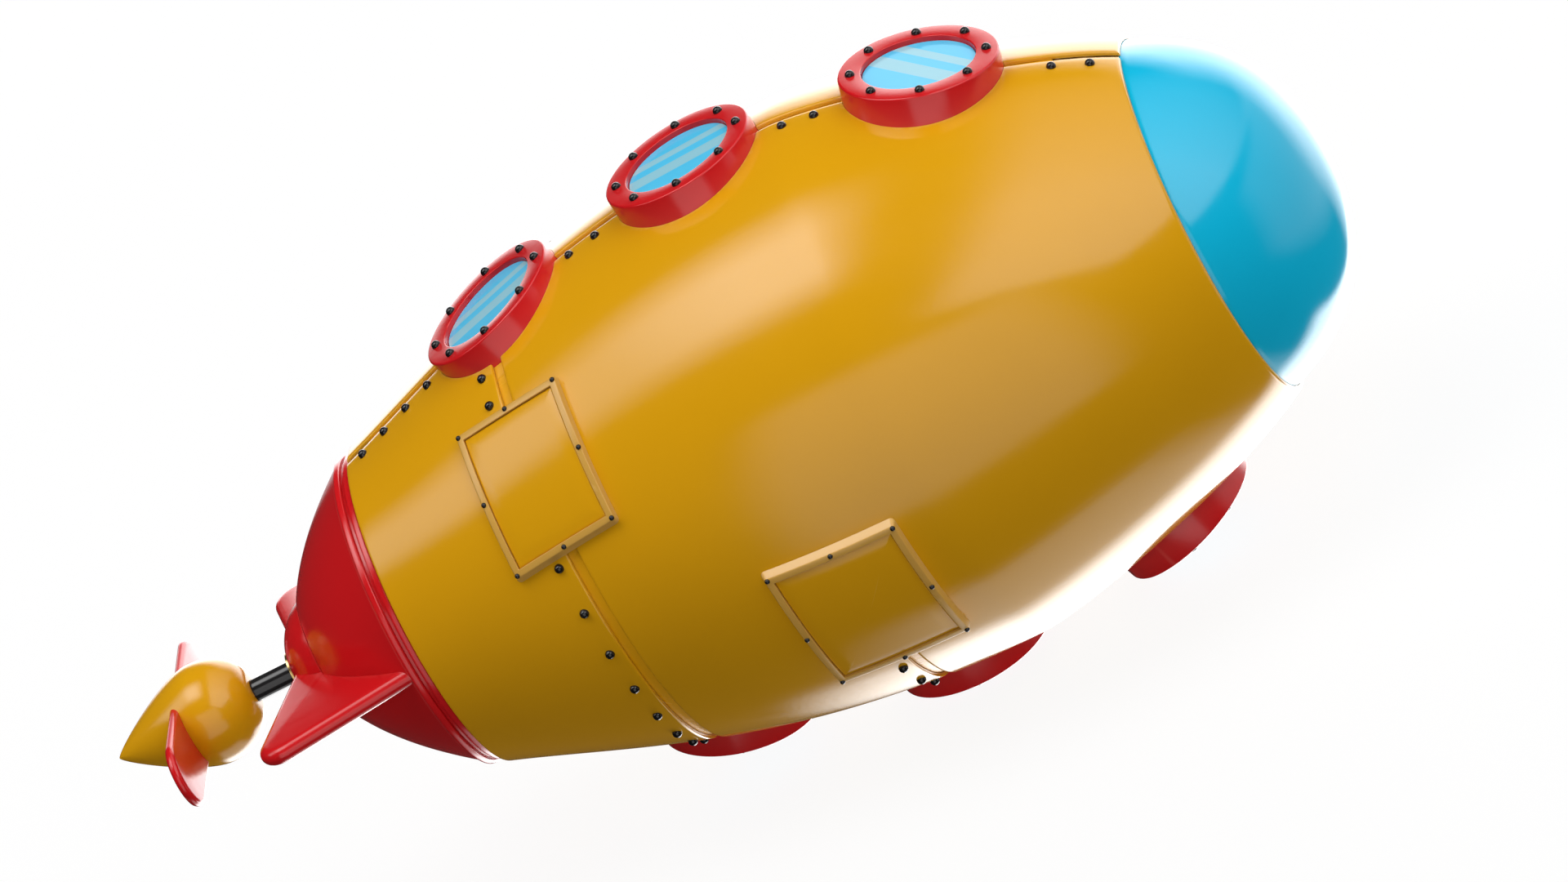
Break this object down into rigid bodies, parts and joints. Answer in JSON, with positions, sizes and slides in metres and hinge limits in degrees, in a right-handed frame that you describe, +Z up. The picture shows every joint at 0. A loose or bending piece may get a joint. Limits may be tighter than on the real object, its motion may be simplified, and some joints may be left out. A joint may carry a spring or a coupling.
{
  "type": "tin space rocket toy",
  "caption": "Clockwork tin space rocket with an egg-shaped riveted hull, portholes, blue nose dome, red tail fins and a propeller.",
  "frame": {"origin": "on the floor under the middle of the rocket's length: the level of the rivet heads on the lower middle porthole, where it lies on a table", "axes": "+X along the hull's axis towards the blue nose, +Z up through the upper row of portholes; the fins and access panels are on the Y sides"},
  "size_m": [0.249, 0.112, 0.1161],
  "materials": {
    "yellow_enamel": "gloss",
    "yellow_backing": "gloss",
    "red_enamel": "gloss",
    "blue_enamel": "gloss",
    "red_moulding": "gloss",
    "yellow_moulding": "gloss",
    "porthole_glass": "clear over a blue backing",
    "black_enamel": "gloss",
    "bright_steel": "plain",
    "spring_steel": "blued",
    "brass": "plain"
  },
  "bodies": {
    "hull": {"plate_aft_right": "yellow_enamel", "plate_aft_left": "yellow_enamel", "plate_fore_right": "yellow_enamel", "plate_fore_left": "yellow_enamel", "frame_aft_right": "yellow_enamel", "frame_fore_right": "yellow_enamel", "frame_aft_left": "yellow_enamel", "frame_fore_left": "yellow_enamel", "cover_aft_right": "yellow_enamel", "cover_fore_right": "yellow_enamel", "cover_aft_left": "yellow_enamel", "cover_fore_left": "yellow_enamel", "strip_top": "yellow_backing", "strip_bottom": "yellow_backing", "girdle_right": "yellow_backing", "girdle_left": "yellow_backing", "short_girdle_right": "yellow_backing", "short_girdle_left": "yellow_backing", "seam_rivets": "black_enamel", "porthole_rivets": "black_enamel", "resting_rivets": "black_enamel", "panel_rivets": "black_enamel", "ring_aft_top": "red_enamel", "ring_mid_top": "red_enamel", "ring_fore_top": "red_enamel", "ring_aft_bottom": "red_enamel", "ring_mid_bottom": "red_enamel", "ring_fore_bottom": "red_enamel", "tail_flange": "red_enamel", "tail_dome": "red_enamel", "tail_cap": "red_enamel", "fin_right": "red_moulding", "fin_left": "red_moulding", "nose_dome": "blue_enamel", "glass_aft_top": "porthole_glass", "glass_mid_top": "porthole_glass", "glass_fore_top": "porthole_glass", "glass_aft_bottom": "porthole_glass", "glass_mid_bottom": "porthole_glass", "glass_fore_bottom": "porthole_glass", "nose_collar": "bright_steel", "bulkhead": "bright_steel", "fore_plate": "bright_steel", "pillars": "bright_steel", "frame_screws": "bright_steel", "mainspring": "spring_steel", "stern_bush": "brass"},
    "propeller": {"prop_hub": "yellow_moulding", "blade_pair": "red_moulding", "prop_shaft": "black_enamel", "shaft_pinion": "bright_steel"},
    "idler": {"idler_arbor": "bright_steel", "idler_wheel": "brass", "idler_pinion": "bright_steel"},
    "great_wheel": {"great_arbor": "bright_steel", "great_wheel": "brass"}
  },
  "joints": [
    {"name": "propeller_spin", "type": "hinge", "parent": "hull", "child": "propeller", "pos_m": [-0.1095, 0, 0.05804], "axis": [1, 0, 0], "continuous": true},
    {"name": "idler_spin", "type": "hinge", "parent": "hull", "child": "idler", "pos_m": [0.0151, 0.01358, 0.0502], "axis": [1, 0, 0], "continuous": true},
    {"name": "great_wheel_spin", "type": "hinge", "parent": "hull", "child": "great_wheel", "pos_m": [0.0211, 0, 0.03827], "axis": [1, 0, 0], "continuous": true}
  ],
  "couplings": [
    {"joint": "idler_spin", "follows": "propeller_spin", "ratio": -0.3},
    {"joint": "great_wheel_spin", "follows": "propeller_spin", "ratio": 0.075}
  ]
}
